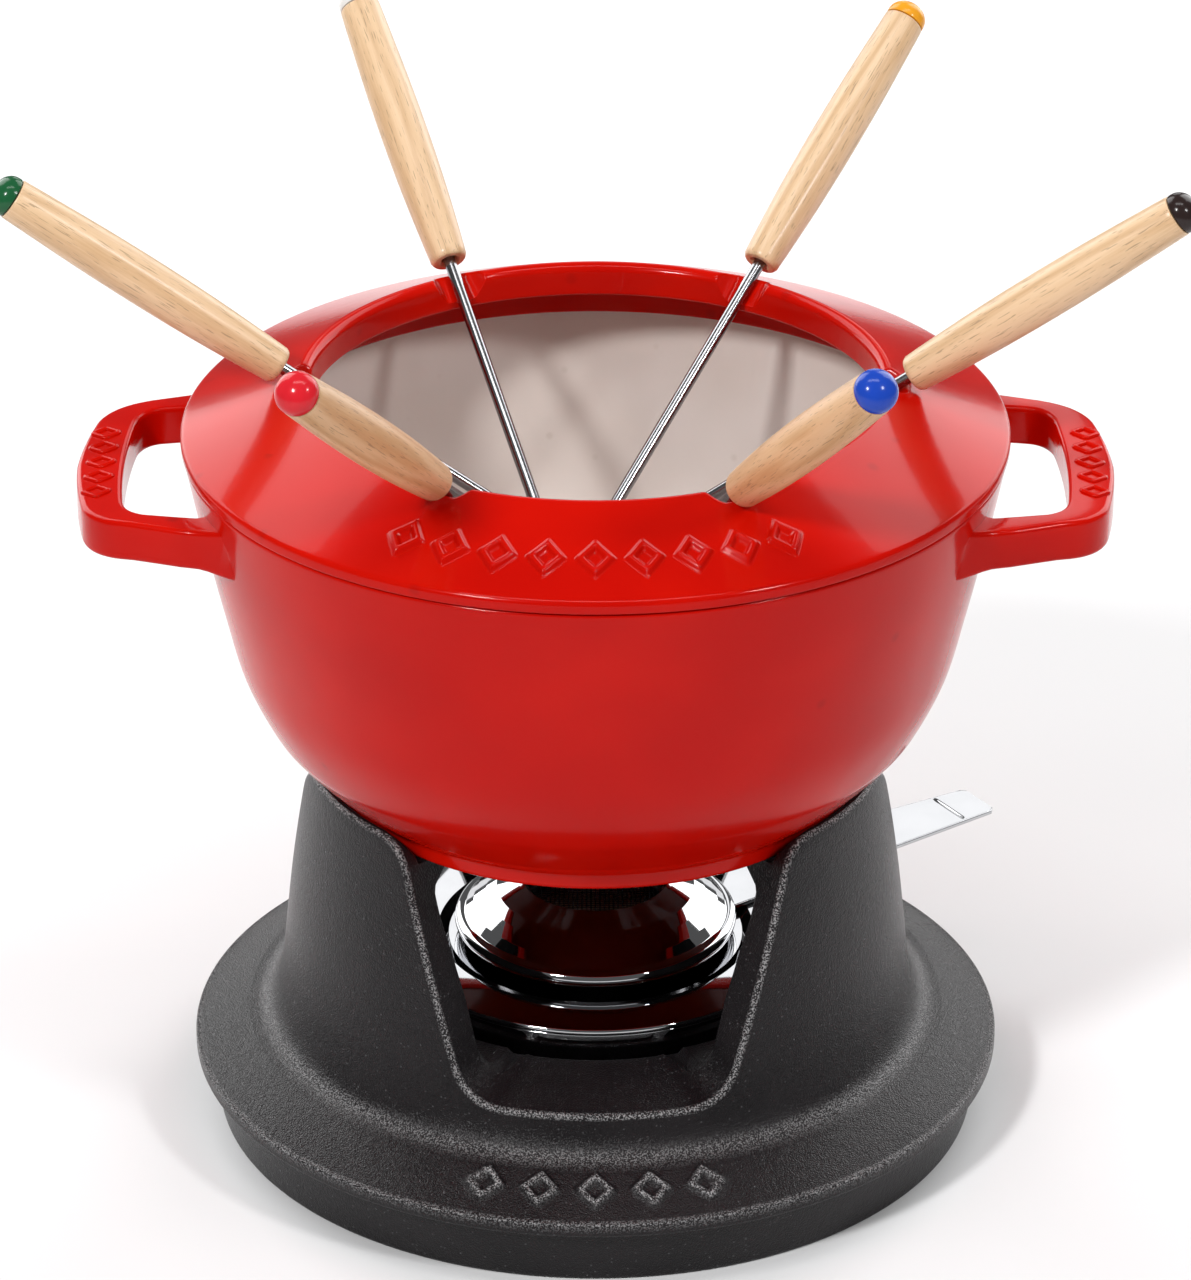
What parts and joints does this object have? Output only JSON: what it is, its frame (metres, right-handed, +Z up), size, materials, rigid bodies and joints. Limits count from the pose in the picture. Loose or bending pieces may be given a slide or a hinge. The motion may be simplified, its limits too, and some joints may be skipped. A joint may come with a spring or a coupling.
{
  "type": "fondue pot set",
  "caption": "Fondue set: enamelled cast-iron pot with loop handles and notched splash ring on a windowed iron stand over a spirit burner, with wood-gripped forks.",
  "frame": {"origin": "on the table, on the axis of the pot and stand", "axes": "+Z up along the pot's axis, -Y towards the front window, +X towards the right pot handle"},
  "size_m": [0.2911, 0.2594, 0.2548],
  "materials": {
    "black_iron": "matt black enamel with a fine cast texture",
    "red_enamel": "glossy red vitreous enamel on cast iron",
    "cream_enamel": "satin cream enamel inside the pot",
    "polished_chrome": "polished chrome plate",
    "steel": "drawn stainless steel",
    "wick_wool": "absorbent mineral wool",
    "blond_wood": "varnished blond hardwood with fine grain",
    "cap_green": "glossy",
    "cap_white": "glossy",
    "cap_yellow": "glossy",
    "cap_black": "glossy",
    "cap_blue": "glossy",
    "cap_red": "glossy"
  },
  "bodies": {
    "stand": {"stand": "black_iron"},
    "burner": {"burner_pan": "polished_chrome", "burner_cover": "polished_chrome", "fuel_cup": "steel", "wick_pad": "wick_wool", "gauze_screen": "steel"},
    "regulator": {"regulator_head": "polished_chrome", "regulator_lever": "polished_chrome", "lever_rivet_1": "steel", "lever_rivet_2": "steel"},
    "pot": {"pot": "red_enamel"},
    "splash_ring": {"splash_ring": "red_enamel"},
    "fork_1": {"fork_1_prong": "steel", "fork_1_grip": "blond_wood", "fork_1_cap": "cap_green"},
    "fork_2": {"fork_2_prong": "steel", "fork_2_grip": "blond_wood", "fork_2_cap": "cap_white"},
    "fork_3": {"fork_3_prong": "steel", "fork_3_grip": "blond_wood", "fork_3_cap": "cap_yellow"},
    "fork_4": {"fork_4_prong": "steel", "fork_4_grip": "blond_wood", "fork_4_cap": "cap_black"},
    "fork_5": {"fork_5_prong": "steel", "fork_5_grip": "blond_wood", "fork_5_cap": "cap_blue"},
    "fork_6": {"fork_6_prong": "steel", "fork_6_grip": "blond_wood", "fork_6_cap": "cap_red"}
  },
  "joints": [
    {"name": "burner_lift", "type": "slide", "parent": "stand", "child": "burner", "axis": [0, 0, 1], "range_m": [0, 0.028]},
    {"name": "regulator_swing", "type": "hinge", "parent": "burner", "child": "regulator", "pos_m": [0, 0, 0.047], "axis": [0, 0, 1], "range_deg": [-16, 10]},
    {"name": "pot_lift", "type": "slide", "parent": "stand", "child": "pot", "axis": [0, 0, 1], "range_m": [0, 0.12]},
    {"name": "ring_lift", "type": "slide", "parent": "pot", "child": "splash_ring", "axis": [0, 0, 1], "range_m": [0, 0.1]},
    {"name": "fork_1_pull", "type": "slide", "parent": "splash_ring", "child": "fork_1", "axis": [-0.8135, -0.0313, 0.5807], "range_m": [0, 0.16]},
    {"name": "fork_2_pull", "type": "slide", "parent": "splash_ring", "child": "fork_2", "axis": [-0.3083, 0.7333, 0.606], "range_m": [0, 0.16]},
    {"name": "fork_3_pull", "type": "slide", "parent": "splash_ring", "child": "fork_3", "axis": [0.4873, 0.6328, 0.6018], "range_m": [0, 0.16]},
    {"name": "fork_4_pull", "type": "slide", "parent": "splash_ring", "child": "fork_4", "axis": [0.7958, -0.1275, 0.592], "range_m": [0, 0.16]},
    {"name": "fork_5_pull", "type": "slide", "parent": "splash_ring", "child": "fork_5", "axis": [0.3531, -0.696, 0.6252], "range_m": [0, 0.16]},
    {"name": "fork_6_pull", "type": "slide", "parent": "splash_ring", "child": "fork_6", "axis": [-0.367, -0.7081, 0.6032], "range_m": [0, 0.16]}
  ]
}
